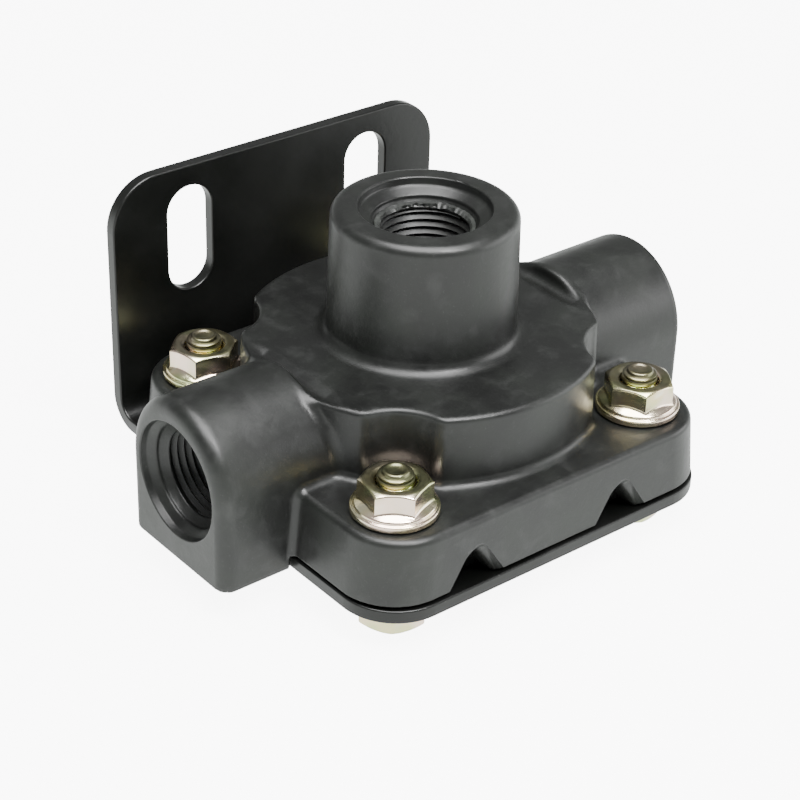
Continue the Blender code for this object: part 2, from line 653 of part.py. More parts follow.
def build_fasteners(datum):
    zinc = finish("yellow_zinc", (0.55, 0.46, 0.2), 0.32, 1.0)
    bolt = bolt_mesh()
    nut = nut_mesh()
    tools = [obj for obj in bpy.data.objects if obj.parent is None and obj.type == "MESH"]
    for tool in tools:
        bpy.data.objects.remove(tool, do_unlink=True)
    for mesh in (bolt, nut):
        mesh.materials.clear()
        smooth(mesh)
    for number, (x, y) in enumerate(BOLT_PLACES):
        spot = (x, y, 0)
        place(f"cover_bolt_{number + 1}", bolt, zinc, datum, spot, math.radians(HEAD_TURNS[number]))
        place(f"flange_nut_{number + 1}", nut, zinc, datum, spot, math.radians(NUT_TURNS[number]))


def build_valve():
    clear_scene()
    datum = bpy.data.objects.new("valve_datum", None)
    bpy.context.scene.collection.objects.link(datum)
    datum.location = Vector((0, AXIS_PLACE, BASE_DEPTH))
    build_fasteners(datum)
    build_body(datum)
    build_bracket(datum)
    build_cover(datum)
    build_diaphragm(datum)
    build_spring(datum)
    for obj in bpy.data.objects:
        if obj.type == "MESH" and not obj.hide_render:
            smooth(obj.data)


build_valve()
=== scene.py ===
"""Looks of the quick exhaust valve, laid out as an add-on and run as a script."""

import math

import bmesh
import bpy
import numpy as np
from bpy.props import FloatProperty, FloatVectorProperty, IntProperty, PointerProperty
from mathutils import Matrix, Vector


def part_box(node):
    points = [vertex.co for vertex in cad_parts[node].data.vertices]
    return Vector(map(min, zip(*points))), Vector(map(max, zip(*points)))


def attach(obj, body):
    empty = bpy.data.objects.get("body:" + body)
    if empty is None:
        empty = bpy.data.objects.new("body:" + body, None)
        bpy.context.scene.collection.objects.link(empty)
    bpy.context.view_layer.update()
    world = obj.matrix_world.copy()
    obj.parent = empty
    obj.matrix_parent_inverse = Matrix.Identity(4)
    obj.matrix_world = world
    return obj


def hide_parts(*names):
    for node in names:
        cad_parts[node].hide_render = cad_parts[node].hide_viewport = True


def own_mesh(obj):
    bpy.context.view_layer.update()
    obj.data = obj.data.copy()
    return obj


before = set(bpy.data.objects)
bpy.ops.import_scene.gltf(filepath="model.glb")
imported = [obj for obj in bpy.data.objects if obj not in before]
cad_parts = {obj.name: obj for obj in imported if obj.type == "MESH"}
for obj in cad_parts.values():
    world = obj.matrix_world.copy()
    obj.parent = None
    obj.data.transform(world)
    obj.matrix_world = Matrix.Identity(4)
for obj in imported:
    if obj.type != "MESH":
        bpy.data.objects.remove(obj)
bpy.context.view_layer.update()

bl_info = {
    "name": "Quick exhaust valve",
    "version": (1, 0, 0),
    "blender": (4, 5, 0),
    "location": "View3D > Sidebar > Valve",
    "description": "Builds the visible surfaces of a quick exhaust valve on its bracket",
    "category": "Object",
}

MM = 0.001
SIDES = (-1, 1)

# Heights and places below are in millimetres from the datum, on the valve's axis at the
# upper face of the bracket's floor
SHEET = 2.5
SEAT_GAP = 0.3
COVER_LOW, COVER_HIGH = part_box("exhaust_cover")
BRACKET_LOW, BRACKET_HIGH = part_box("mounting_bracket")
BODY_LOW, BODY_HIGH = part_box("valve_body")
DATUM = Vector((0, (COVER_LOW[1] + COVER_HIGH[1]) / 2, BRACKET_LOW[2] + SHEET * MM))
BODY_TOP = (BODY_HIGH[2] - DATUM[2]) / MM
ARM_REACH = BODY_HIGH[0] / MM
FLANGE_HALF = (BODY_HIGH[1] - BODY_LOW[1]) / MM / 2
UPRIGHT_BACK = (BRACKET_HIGH[1] - DATUM[1]) / MM
UPRIGHT_TOP = (BRACKET_HIGH[2] - DATUM[2]) / MM
FLOOR_FRONT = (DATUM[1] - BRACKET_LOW[1]) / MM
FLOOR_HALF = BRACKET_HIGH[0] / MM

# Moulded body; a draft is how far a side leans over a millimetre of height
CORNER = 10.75
BOLT_HALF = FLANGE_HALF - CORNER
BOLT_HOLE = 3.475
FLANGE_TOP = 12.7
FLANGE_ROUNDING = 1.2
SIDE_DRAFT = 0.095
FRONT_DRAFT = 0.03
REBATE = 0.7
REBATE_TOP = 0.6
REBATE_ROUNDING = 0.25
DRUM_RADIUS = 31.9
DRUM_TOP = 25.8
DRUM_DRAFT = 0.02
DRUM_ROUNDING = 1.0
POCKET_RADIUS = 9.8
POCKET_ROUNDING = 0.9
BOSS_RADIUS = 16.45
BOSS_DRAFT = 0.021
BOSS_ROUNDING = 1.9
BOSS_FILLET = 2.3
BODY_FILLET = 1.5

# Arms, parted from the drum's top by a valley that runs out to both sides
ARM_AXIS = 13.3
ARM_RADIUS = 13.9
ARM_SQUASH = 0.946
LEFT_ARM_ROUNDING = 2.7
RIGHT_ARM_ROUNDING = 1.5
ARM_INNER_END = 28.2
ARM_STEP = 2
ARM_STEP_ROUNDING = 3.0
ARM_FOOT_ROUNDING = 0.5
VALLEY_RADIUS = 1.7
VALLEY_RISE = 1.0
VALLEY_HALF = 9
VALLEY_TAPER = 0.25
VALLEY_ROUNDING = 0.7
FLOOR_ROUNDING = 0.35

# Nicks in the boss's rim, each cut by a ball: degrees round the boss, then the ball
RIM_NICKS = (24, 20, 354, 349)
NICK_PLACE = 17.1
NICK_RISE = 0.5
NICK_RADIUS = 1.35
NICK_ROUNDING = 0.15

# Port mouths; a step is how far it stands outside the recess or the ledge, and its depth
SUPPLY_RECESS = 11.7
DELIVERY_RECESS = 10.7
LEDGE_RADIUS = 9.3
MOUTH_STEPS = ((0.25, -1.5), (0.25, 0.0), (0.05, 0.07), (-0.03, 0.25), (-0.1, 1.15),
               (-0.25, 1.4), (-0.7, 1.75))
LEDGE_STEPS = ((0.25, 2.25), (0.03, 2.45), (0.0, 2.7), (-0.05, 3.1))
THREAD_CREST = 7.8
THREAD_ROOT = 8.5
THREAD_START = 4.0
THREAD_PITCH = 1.41
THREAD_END = 16.4

# Chamber
CHAMBER_RADIUS = 23.5
CHAMBER_ROOF = 16.7
COVER_RADIUS = 27.8
COVER_SHOULDER = 3.8
INLET_SEAT = 13.2
INLET_RADIUS = 4.6
SPRING_POCKET = 6.8
SPRING_WALL = 2.2
SPRING_ROOF = 24.2
PASSAGE_RADIUS = 6.4
GUIDE_INNER = 16.4
GUIDE_HALF = 1.3
GUIDE_FOOT = 5.0

# Notches in the front wall: centres, half widths at the foot and top, and the height between
NOTCHES = (-18.3, 14.6)
NOTCH_FOOT = 6.4
NOTCH_TOP = 1.8
NOTCH_HEIGHT = 7.1
NOTCH_DEPTH = 4.5
NOTCH_LEAN = (NOTCH_FOOT - NOTCH_TOP) / NOTCH_HEIGHT
# Steps into a notch: depth, how far the right flank is eased, heights of the two shoulders
NOTCH_STEPS = ((-1.0, 0.0, 7.0, 8.4), (0.0, 0.0, 7.0, 8.4), (0.25, 0.1, 6.95, 8.2),
               (0.4, 0.8, 6.9, 7.7), (0.7, 1.5, 6.85, 7.3), (1.3, 2.0, 6.8, 6.9),
               (2.4, 2.2, 6.7, 6.6), (NOTCH_DEPTH, 2.3, 6.6, 6.4))

# Nuts, bolts and the bracket's exhaust hole
NUT_HEIGHT = 6.0
BOLT_THREAD_PITCH = 0.907
BOLT_THREAD_RISE = 3.4
BOLT_THREAD_DROP = 2.1
EXHAUST_HOLE = 11.3

# How far what is cut away stands past the sheet, and where it starts below the floor
CUT_BEYOND = 3
CUT_LOW = -6

# Camera, from the edges measured in the photograph
CAMERA_AZIMUTH = -39.70
CAMERA_ELEVATION = 31.0
CAMERA_ROLL = 1.83
CAMERA_DISTANCE = 371.36
CAMERA_TARGET = (-13.27, -10.78, 20.47)
CAMERA_LENS = 97.43


def to_world(points):
    """Millimetres from the datum to metres in the row's frame."""
    return np.asarray(points, dtype=float) * MM + np.array(DATUM)


def from_world(points):
    """Metres in the row's frame to millimetres from the datum."""
    return (points - np.array(DATUM)) / MM


# Surfaces from distances

def cut(a, b, radius):
    """Distance to what is inside both a and b, its outer edge rounded."""
    edge = np.hypot(np.maximum(a + radius, 0), np.maximum(b + radius, 0))
    return np.minimum(-radius, np.maximum(a, b)) + edge


def join(a, b, radius):
    """Distance to what is inside a or b, with a fillet where they meet."""
    corner = np.hypot(np.maximum(radius - a, 0), np.maximum(radius - b, 0))
    return np.maximum(radius, np.minimum(a, b)) - corner


def rounded_square(x, y, half, radius):
    u = np.abs(x) - half + radius
    v = np.abs(y) - half + radius
    return np.hypot(np.maximum(u, 0), np.maximum(v, 0)) + np.minimum(np.maximum(u, v), 0) - radius


def graded(start, *spans):
    """Grid lines from a start through spans of (end, step)."""
    lines = []
    for end, step in spans:
        count = max(1, round((end - start) / step))
        lines.append(np.linspace(start, end, count, endpoint=False))
        start = end
    return np.concatenate((*lines, [start]))


def surface(distance, axes):
    """Closed quads on the zero level of a distance, one corner in each crossed cell."""
    field = distance(*np.meshgrid(*axes, indexing="ij"))
    cells = np.array(field.shape) - 1
    total = int(np.prod(cells))
    strides = np.array([cells[1] * cells[2], cells[2], 1])
    sums = np.zeros((3, total))
    counts = np.zeros(total)
    quads = []
    for axis in range(3):
        low = np.take(field, range(field.shape[axis] - 1), axis=axis)
        high = np.take(field, range(1, field.shape[axis]), axis=axis)
        index = np.argwhere((low < 0) != (high < 0))
        a = low[tuple(index.T)]
        b = high[tuple(index.T)]
        points = np.stack([axes[k][index[:, k]] for k in range(3)], axis=1)
        step = axes[axis][index[:, axis] + 1] - axes[axis][index[:, axis]]
        points[:, axis] += step * a / (a - b)
        first, second = [k for k in range(3) if k != axis]
        around = []
        for u, v in ((0, 0), (1, 0), (1, 1), (0, 1)):
            cell = index.copy()
            cell[:, first] -= u
            cell[:, second] -= v
            flat = cell @ strides
            around.append(flat)
            counts += np.bincount(flat, minlength=total)
            for k in range(3):
                sums[k] += np.bincount(flat, weights=points[:, k], minlength=total)
        ring = np.stack(around, axis=1)
        outward = (a < 0) != (axis == 1)
        ring[~outward] = ring[~outward][:, ::-1]
        quads.append(ring)
    used = np.flatnonzero(counts)
    number = np.zeros(total, dtype=int)
    number[used] = np.arange(len(used))
    corners = (sums[:, used] / counts[used]).T
    return corners, number[np.concatenate(quads)]


def gradient(distance, corners, reach=0.02):
    slopes = []
    for k in range(3):
        offset = np.zeros(3)
        offset[k] = reach
        ahead = distance(*(corners + offset).T)
        behind = distance(*(corners - offset).T)
        slopes.append((ahead - behind) / (2 * reach))
    return np.stack(slopes, axis=1)


def unit_normals(distance, corners):
    slope = gradient(distance, corners)
    return slope / np.maximum(np.linalg.norm(slope, axis=1), 1e-6)[:, None]


def formed_mesh(name, distance, grid, settle=3):
    """Mesh of a distance's zero level, its corners settled on the level itself."""
    corners, quads = surface(distance, grid)
    for _ in range(settle):
        slope = gradient(distance, corners)
        length = np.maximum((slope ** 2).sum(axis=1), 0.25)
        move = distance(*corners.T) / length
        corners = corners - slope * np.clip(move, -0.3, 0.3)[:, None]
    mesh = bpy.data.meshes.new(name)
    mesh.from_pydata(to_world(corners).tolist(), [], quads.tolist())
    mesh.shade_smooth()
    mesh.normals_split_custom_set_from_vertices(unit_normals(distance, corners).tolist())
    return mesh


def body_distance(x, y, z):
    """Distance to the moulded body, in millimetres from the datum."""
    ax, ay = np.abs(x), np.abs(y)
    radius = np.hypot(x, y)
    from_bolt = np.hypot(ax - BOLT_HALF, ay - BOLT_HALF)
    height = np.maximum(z - REBATE_TOP, 0)
    square = rounded_square(ax + SIDE_DRAFT * height, ay + FRONT_DRAFT * height,
                            FLANGE_HALF, CORNER)
    flange = cut(square, z - FLANGE_TOP, FLANGE_ROUNDING)
    rebate = np.minimum(square + REBATE, REBATE_TOP - z)
    flange = cut(flange, rebate, REBATE_ROUNDING)

    drum = radius - DRUM_RADIUS - DRUM_DRAFT * (DRUM_TOP - z)
    drum = cut(drum, z - DRUM_TOP, DRUM_ROUNDING)
    pocket = POCKET_RADIUS - DRUM_DRAFT * (FLANGE_TOP - z) - from_bolt
    drum = cut(drum, pocket, POCKET_ROUNDING)
    body = join(flange, drum, BODY_FILLET)

    boss = radius - BOSS_RADIUS - BOSS_DRAFT * (BODY_TOP - z)
    boss = cut(boss, z - BODY_TOP, BOSS_ROUNDING)
    body = join(body, boss, BOSS_FILLET)

    arm = np.hypot(y, np.maximum(z - ARM_AXIS, 0) * ARM_SQUASH) - ARM_RADIUS
    rounding = np.where(x < 0, LEFT_ARM_ROUNDING, RIGHT_ARM_ROUNDING)
    arm = cut(arm, ax - ARM_REACH, rounding)
    step = np.minimum(ARM_INNER_END - ax, z - DRUM_TOP + ARM_STEP)
    arm = cut(arm, step, ARM_STEP_ROUNDING)
    arm = cut(arm, -SHEET - z, ARM_FOOT_ROUNDING)
    body = join(body, arm, BODY_FILLET)
    valley = VALLEY_RADIUS - np.hypot(ax - ARM_INNER_END, z - DRUM_TOP - VALLEY_RISE)
    valley = valley - VALLEY_TAPER * np.maximum(ay - VALLEY_HALF, 0)
    body = cut(body, valley, VALLEY_ROUNDING)

    floor_space = np.minimum(SEAT_GAP - z, FLOOR_HALF + SEAT_GAP - ax)
    body = cut(body, floor_space, FLOOR_ROUNDING)

    passage = np.minimum(PASSAGE_RADIUS - np.hypot(y, z - ARM_AXIS), ax - CHAMBER_RADIUS + 2)
    cover_seat = np.minimum(COVER_RADIUS - radius, COVER_SHOULDER - z)
    chamber = np.minimum(CHAMBER_RADIUS - radius, CHAMBER_ROOF - z)
    hanging = np.maximum(SPRING_POCKET - radius, radius - SPRING_POCKET - SPRING_WALL)
    hanging = np.maximum(hanging, INLET_SEAT - z)
    ribs = np.minimum(np.abs(x - y), np.abs(x + y)) / math.sqrt(2) - GUIDE_HALF
    ribs = np.maximum(np.maximum(ribs, GUIDE_INNER - radius), GUIDE_FOOT - z)
    chamber = np.minimum(chamber, np.minimum(hanging, ribs))
    roof = np.minimum(SPRING_ROOF - z, z - INLET_SEAT + 1)
    spring_pocket = np.minimum(SPRING_POCKET - radius, roof)
    inlet = np.minimum(INLET_RADIUS - radius, z - INLET_SEAT)
    for hollow in (passage, cover_seat, chamber, spring_pocket, inlet, BOLT_HOLE - from_bolt):
        body = np.maximum(body, hollow)

    rise = BODY_TOP + NICK_RISE
    for turn in RIM_NICKS:
        along, across = (NICK_PLACE * part(math.radians(turn)) for part in (math.cos, math.sin))
        nick = NICK_RADIUS - np.sqrt((x - along) ** 2 + (y - across) ** 2 + (z - rise) ** 2)
        body = cut(body, nick, NICK_ROUNDING)
    return body


def at_port(mesh, port):
    """Take a mesh drawn on the datum to a port, its heights being depths into the bore."""
    mesh.transform(Matrix.Translation(DATUM) @ port @ Matrix.Translation(-DATUM))
    return mesh


def port_cutter(name, port, recess):
    """What a port's stepped mouth and thread root take away, as a turned solid."""
    steps = [(0, MOUTH_STEPS[0][1])]
    steps += [(recess + wider, depth) for wider, depth in MOUTH_STEPS]
    steps += [(LEDGE_RADIUS + wider, depth) for wider, depth in LEDGE_STEPS]
    steps += [(THREAD_CREST + 0.1, THREAD_START - 0.1), (THREAD_CREST, THREAD_START + 0.1),
              (THREAD_CREST, THREAD_START + 0.3), (THREAD_ROOT, THREAD_START + 0.8),
              (THREAD_ROOT, THREAD_END), (0, THREAD_END)]
    return add_object(name, at_port(turned_mesh(name, steps, steps=144), port))


def notch_flanks(x, z, center):
    """How far a point lies inside the two leaning flanks of a notch, left and right."""
    return NOTCH_FOOT - NOTCH_LEAN * z + x - center, NOTCH_FOOT - NOTCH_LEAN * z - x + center


def notch_cutter(name, center, low=-0.7):
    """What a notch takes away; each step inwards eases its right flank."""
    bm = bmesh.new()
    rings = []
    for depth, eased, left_top, right_top in NOTCH_STEPS:
        def left(z):
            return np.array((center - NOTCH_FOOT + NOTCH_LEAN * z, z))

        def right(z):
            return np.array((center + NOTCH_FOOT - eased - NOTCH_LEAN * z, z))

        curve = [left(left_top - 1.4), left(left_top), right(right_top), right(right_top - 1.6)]
        outline = [left(low)]
        for t in np.linspace(0, 1, 11):
            weights = ((1 - t) ** 3, 3 * t * (1 - t) ** 2, 3 * t * t * (1 - t), t ** 3)
            outline.append(sum(w * c for w, c in zip(weights, curve)))
        outline.append(right(low))
        rings.append(new_corners(bm, [(x, depth - FLANGE_HALF, z) for x, z in outline]))
    bridge(bm, rings)
    bm.faces.new(rings[0])
    bm.faces.new(rings[-1])
    bmesh.ops.triangulate(bm, faces=bm.faces)
    return add_object(name, finish_mesh(name, bm))


def burr_mesh(name, port, far, seed=5):
    """A ragged thin burr round the start of a thread, widest at the turn given as far."""
    draw = np.random.RandomState(seed)
    turns = np.linspace(0, 2 * math.pi, 288, endpoint=False)

    def ragged(waves=(2, 5, 7, 11, 17, 29, 43)):
        return sum(np.sin(k * turns + draw.uniform(0, 2 * math.pi)) for k in waves) / 3

    wide = 0.1 + 0.9 * np.cos((turns - far) / 2) ** 6
    section = (
        (8.85 + 0.12 * wide * ragged(), np.full(len(turns), 3.55)),
        (8.75 + 0.12 * wide * ragged(), 3.26 + 0.06 * ragged()),
        (8.2 - 0.2 * wide + 0.22 * wide * ragged(), 3.42 + 0.2 * wide * ragged()),
        (7.85 - 0.15 * wide + 0.3 * wide * ragged(), 3.95 + 0.24 * wide * ragged()),
        (np.full(len(turns), 8.2), np.full(len(turns), 4.1)),
    )
    bm = bmesh.new()
    rings = []
    for radius, depth in section:
        spots = np.stack((radius * np.cos(turns), radius * np.sin(turns), depth), axis=1)
        rings.append(new_corners(bm, spots))
    bridge(bm, rings, closed=True)
    return at_port(finish_mesh(name, bm, 30), port)


def read_all(items, name, kind, width=1):
    """One property of all of a mesh's items, as rows of the given width."""
    values = np.empty(len(items) * width, dtype=kind)
    items.foreach_get(name, values)
    return values.reshape(-1, width) if width > 1 else values


def shade_moulding(mesh):
    """Normals from the body's distance, and from the faces themselves in ports and notches."""
    corners = from_world(read_all(mesh.vertices, "co", float, 3))
    normals = unit_normals(body_distance, corners)
    loops = read_all(mesh.loops, "vertex_index", int)
    sizes = read_all(mesh.polygons, "loop_total", int)
    x, y, z = from_world(read_all(mesh.polygons, "center", float, 3)).T
    skin, past_end = 0.005, 0.05
    inside = np.zeros(len(sizes), dtype=bool)
    ports = ((SUPPLY_RECESS, BODY_TOP - z, np.hypot(x, y)),
             (DELIVERY_RECESS, ARM_REACH - np.abs(x), np.hypot(y, z - ARM_AXIS)))
    for recess, depth, out in ports:
        inside |= (depth > skin) & (depth < THREAD_END + past_end) & (out < recess + 0.24)
    depth = FLANGE_HALF + y
    front = (depth > skin) & (depth < NOTCH_DEPTH + past_end) & (z < 8.6)
    for center in NOTCHES:
        left, right = notch_flanks(x, z, center)
        inside |= front & (left > -0.03) & (right > -0.03)
    given = normals[loops]
    given[np.repeat(inside, sizes)] = 0
    mesh.shade_smooth()
    mesh.set_sharp_from_angle(angle=math.radians(40))
    mesh.normals_split_custom_set(given.tolist())


def port_frames():
    """Frames of the three ports, from the datum: origin on the face, +Z into the bore."""
    ports = {"supply": ((0, 0, BODY_TOP), math.pi, "X"),
             "delivery_left": ((-ARM_REACH, 0, ARM_AXIS), math.pi / 2, "Y"),
             "delivery_right": ((ARM_REACH, 0, ARM_AXIS), -math.pi / 2, "Y")}
    return {name: Matrix.Translation([v * MM for v in spot]) @ Matrix.Rotation(turn, 4, axis)
            for name, (spot, turn, axis) in ports.items()}


# Meshes from outlines

def arc(center, radius, start, end, steps):
    turns = np.radians(np.linspace(start, end, steps + 1))
    return [(center[0] + radius * math.cos(t), center[1] + radius * math.sin(t)) for t in turns]


def softened(profile, radius, steps=4):
    """An open profile with its inner corners rounded."""
    points = [profile[0]]
    for before, corner, after in zip(profile, profile[1:], profile[2:]):
        p, q, r = (np.array(v, dtype=float) for v in (before, corner, after))
        reach = min(radius, 0.45 * np.linalg.norm(p - q), 0.45 * np.linalg.norm(r - q))
        a = q + (p - q) / np.linalg.norm(p - q) * reach
        b = q + (r - q) / np.linalg.norm(r - q) * reach
        for t in np.linspace(0, 1, steps + 1):
            points.append(tuple((1 - t) ** 2 * a + 2 * t * (1 - t) * q + t ** 2 * b))
    points.append(profile[-1])
    return points


def fill_mesh(mesh, bm, angle):
    """Fill a mesh, its faces outwards and its edges sharp past an angle."""
    bmesh.ops.recalc_face_normals(bm, faces=bm.faces)
    bm.to_mesh(mesh)
    bm.free()
    mesh.shade_smooth()
    mesh.set_sharp_from_angle(angle=math.radians(angle))
    return mesh


def finish_mesh(name, bm, angle=40):
    bmesh.ops.remove_doubles(bm, verts=bm.verts, dist=1e-7)
    return fill_mesh(bpy.data.meshes.new(name), bm, angle)


def new_corners(bm, points):
    return [bm.verts.new(p) for p in to_world(points)]


def bridge(bm, rings, closed=False):
    """Faces between each ring of corners and the next; a ring may be a single corner."""
    for low, high in zip(rings, (*rings[1:], rings[0]) if closed else rings[1:]):
        count = max(len(low), len(high))
        for i in range(count):
            j = (i + 1) % count
            corners = (low[i % len(low)], low[j % len(low)],
                       high[j % len(high)], high[i % len(high)])
            corners = list(dict.fromkeys(corners))
            if len(corners) > 2:
                bm.faces.new(corners)


def turned_mesh(name, profile, center=(0, 0), steps=96, closed=False):
    """A profile of (radius, height) turned about an upright axis."""
    bm = bmesh.new()
    rings = []
    for radius, height in profile:
        turns = np.linspace(0, 2 * math.pi, steps if radius > 1e-6 else 1, endpoint=False)
        spots = [(center[0] + radius * math.cos(t), center[1] + radius * math.sin(t), height)
                 for t in turns]
        rings.append(new_corners(bm, spots))
    bridge(bm, rings, closed)
    return finish_mesh(name, bm)


def prism(name, outline, low, high, along):
    """An outline drawn across an axis and extruded along it."""
    def corner(u, v, w):
        return {"X": (w, u, v), "Y": (u, w, v), "Z": (u, v, w)}[along]

    bm = bmesh.new()
    rings = [new_corners(bm, [corner(u, v, w) for u, v in outline]) for w in (low, high)]
    bm.faces.new(rings[0])
    bm.faces.new(rings[1])
    bridge(bm, rings)
    return add_object(name, finish_mesh(name, bm))


def coat(obj, material):
    obj.data.materials.clear()
    obj.data.materials.append(material)


def add_object(name, data, material=None):
    obj = bpy.data.objects.new(name, data)
    bpy.context.scene.collection.objects.link(obj)
    if material is not None:
        coat(obj, material)
    return obj


def turned_piece(name, profile, rounding, material):
    return add_object(name, turned_mesh(name, softened(profile, rounding)), material)


def apply_modifiers(obj):
    graph = bpy.context.evaluated_depsgraph_get()
    graph.update()
    mesh = bpy.data.meshes.new_from_object(obj.evaluated_get(graph))
    obj.modifiers.clear()
    obj.data = mesh


def carve(obj, cutters):
    for cutter in cutters:
        modifier = obj.modifiers.new(cutter.name, "BOOLEAN")
        modifier.operation = "DIFFERENCE"
        modifier.solver = "EXACT"
        modifier.object = cutter
    apply_modifiers(obj)
    for cutter in cutters:
        bpy.data.objects.remove(cutter, do_unlink=True)


def soften_edges(obj, width, segments=3, angle=35):
    bevel = obj.modifiers.new("edge", "BEVEL")
    bevel.width = width * MM
    bevel.segments = segments
    bevel.limit_method = "ANGLE"
    bevel.angle_limit = math.radians(angle)
    bevel.harden_normals = True
    apply_modifiers(obj)


def install(obj, body, slot, *nodes):
    """Make a finished piece ride on its body and stand for its CAD nodes."""
    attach(obj, body)
    if nodes:
        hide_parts(*nodes)


# Threads and springs

HELIX_INPUTS = ("Turns", "Start Radius", "End Radius", "Rise", "Ridge")


def helix_tree(name, ridge_sides):
    """A ridge or wire of a few sides that climbs round the axis."""
    tree = bpy.data.node_groups.new(name, "GeometryNodeTree")
    tree.is_modifier = True

    def socket(label, kind, in_out="INPUT"):
        return tree.interface.new_socket(label, in_out=in_out, socket_type=f"NodeSocket{kind}")

    def node(kind, **sockets):
        """A node, its sockets linked or set; _ stands for a blank in their names."""
        made = tree.nodes.new(kind)
        for label, value in sockets.items():
            target = made.inputs[label.replace("_", " ")]
            if isinstance(value, bpy.types.NodeSocket):
                tree.links.new(value, target)
            else:
                target.default_value = value
        return made

    socket("Geometry", "Geometry")
    for label in HELIX_INPUTS:
        socket(label, "Float")
    socket("Finish", "Material")
    socket("Geometry", "Geometry", "OUTPUT")
    given = node("NodeGroupInput").outputs
    spiral = node("GeometryNodeCurveSpiral", Resolution=64, Rotations=given["Turns"],
                  Start_Radius=given["Start Radius"], End_Radius=given["End Radius"],
                  Height=given["Rise"])
    upright = node("GeometryNodeSetCurveNormal", Curve=spiral.outputs["Curve"])
    upright.mode = "Z_UP"
    ridge = node("GeometryNodeCurvePrimitiveCircle", Resolution=ridge_sides,
                 Radius=given["Ridge"])
    sweep = node("GeometryNodeCurveToMesh", Curve=upright.outputs["Curve"],
                 Profile_Curve=ridge.outputs["Curve"], Fill_Caps=True)
    solid = node("GeometryNodeRealizeInstances", Geometry=sweep.outputs["Mesh"])
    finish = node("GeometryNodeSetMaterial", Geometry=solid.outputs["Geometry"],
                  Material=given["Finish"])
    node("NodeGroupOutput", Geometry=finish.outputs["Geometry"])
    return tree


def helix(name, tree, sizes, material, matrix):
    """A plain mesh made by the tree, moved to its place; sizes follow the tree's inputs."""
    obj = add_object(name, bpy.data.meshes.new(name))
    modifier = obj.modifiers.new("helix", "NODES")
    modifier.node_group = tree
    identifiers = {item.name: item.identifier for item in tree.interface.items_tree
                   if item.in_out == "INPUT"}
    for label, value in zip(HELIX_INPUTS, sizes):
        modifier[identifiers[label]] = value if label == "Turns" else value * MM
    modifier[identifiers["Finish"]] = material
    apply_modifiers(obj)
    obj.data.transform(Matrix.Translation(DATUM) @ matrix)
    bm = bmesh.new()
    bm.from_mesh(obj.data)
    fill_mesh(obj.data, bm, 50)
    return obj


# Materials

class Value:
    """A shader socket whose arithmetic adds Math nodes."""

    def __init__(self, finish, socket):
        self.finish = finish
        self.socket = socket

    def _math(self, operation, first, second):
        settings = {"operation": operation}
        return self.finish.node("ShaderNodeMath", settings, {0: first, 1: second}, 0)

    def __add__(self, other):
        return self._math("ADD", self, other)

    __radd__ = __add__

    def __sub__(self, other):
        return self._math("SUBTRACT", self, other)

    def __rsub__(self, other):
        return self._math("SUBTRACT", other, self)

    def __mul__(self, other):
        return self._math("MULTIPLY", self, other)

    __rmul__ = __mul__

    def at_least(self, other):
        return self._math("MAXIMUM", self, other)


class Finish:
    """A material built from expressions on Object coordinates."""

    def __init__(self, name):
        self.material = bpy.data.materials.new(name)
        self.material.use_nodes = True
        self.nodes = self.material.node_tree.nodes
        self.links = self.material.node_tree.links
        self.shader = self.nodes["Principled BSDF"]
        self.place = self.node("ShaderNodeTexCoord", {}, {}, "Object")

    def node(self, kind, settings, sockets, output):
        """A node with its settings and sockets, as the value of one of its outputs."""
        node = self.nodes.new(kind)
        for name, value in settings.items():
            setattr(node, name, value)
        for name, value in sockets.items():
            self.feed(node.inputs[name], value)
        return Value(self, node.outputs[output])

    def feed(self, socket, value):
        if isinstance(value, Value):
            self.links.new(value.socket, socket)
        else:
            socket.default_value = value

    def mapped(self, scale=(1, 1, 1), offset=(0, 0, 0)):
        return self.node("ShaderNodeMapping", {}, {
            "Vector": self.place, "Scale": scale, "Location": offset}, "Vector")

    def noise(self, scale, detail, roughness, vector=None, distortion=0.0):
        return self.node("ShaderNodeTexNoise", {}, {
            "Vector": vector or self.place, "Scale": scale, "Detail": detail,
            "Roughness": roughness, "Distortion": distortion}, "Fac")

    def between(self, value, low, high, start=0.0, end=1.0):
        """Map a value from low..high to start..end, held at both ends."""
        return self.node("ShaderNodeMapRange", {"interpolation_type": "SMOOTHSTEP"}, {
            "Value": value, "From Min": low, "From Max": high, "To Min": start,
            "To Max": end}, "Result")

    def mix(self, factor, first, second):
        first, second = (c if isinstance(c, Value) else (*c, 1.0) for c in (first, second))
        sockets = {0: factor, 6: first, 7: second}
        return self.node("ShaderNodeMix", {"data_type": "RGBA"}, sockets, 2)

    def tint(self, tone, color, value, low, high, most=1.0):
        """Lay a colour over a tone where a value rises from low to high."""
        return self.mix(self.between(value, low, high, 0, most), tone, color)

    def axis(self, name):
        return self.node("ShaderNodeSeparateXYZ", {}, {0: self.place}, name)

    def bump(self, height, distance, strength):
        normal = self.node("ShaderNodeBump", {}, {
            "Height": height, "Distance": distance, "Strength": strength}, "Normal")
        self.feed(self.shader.inputs["Normal"], normal)

    def set(self, **sockets):
        for name, value in sockets.items():
            socket = self.shader.inputs[name.replace("_", " ")]
            if isinstance(value, tuple):
                value = (*value, 1.0)
            self.feed(socket, value)
        return self.material


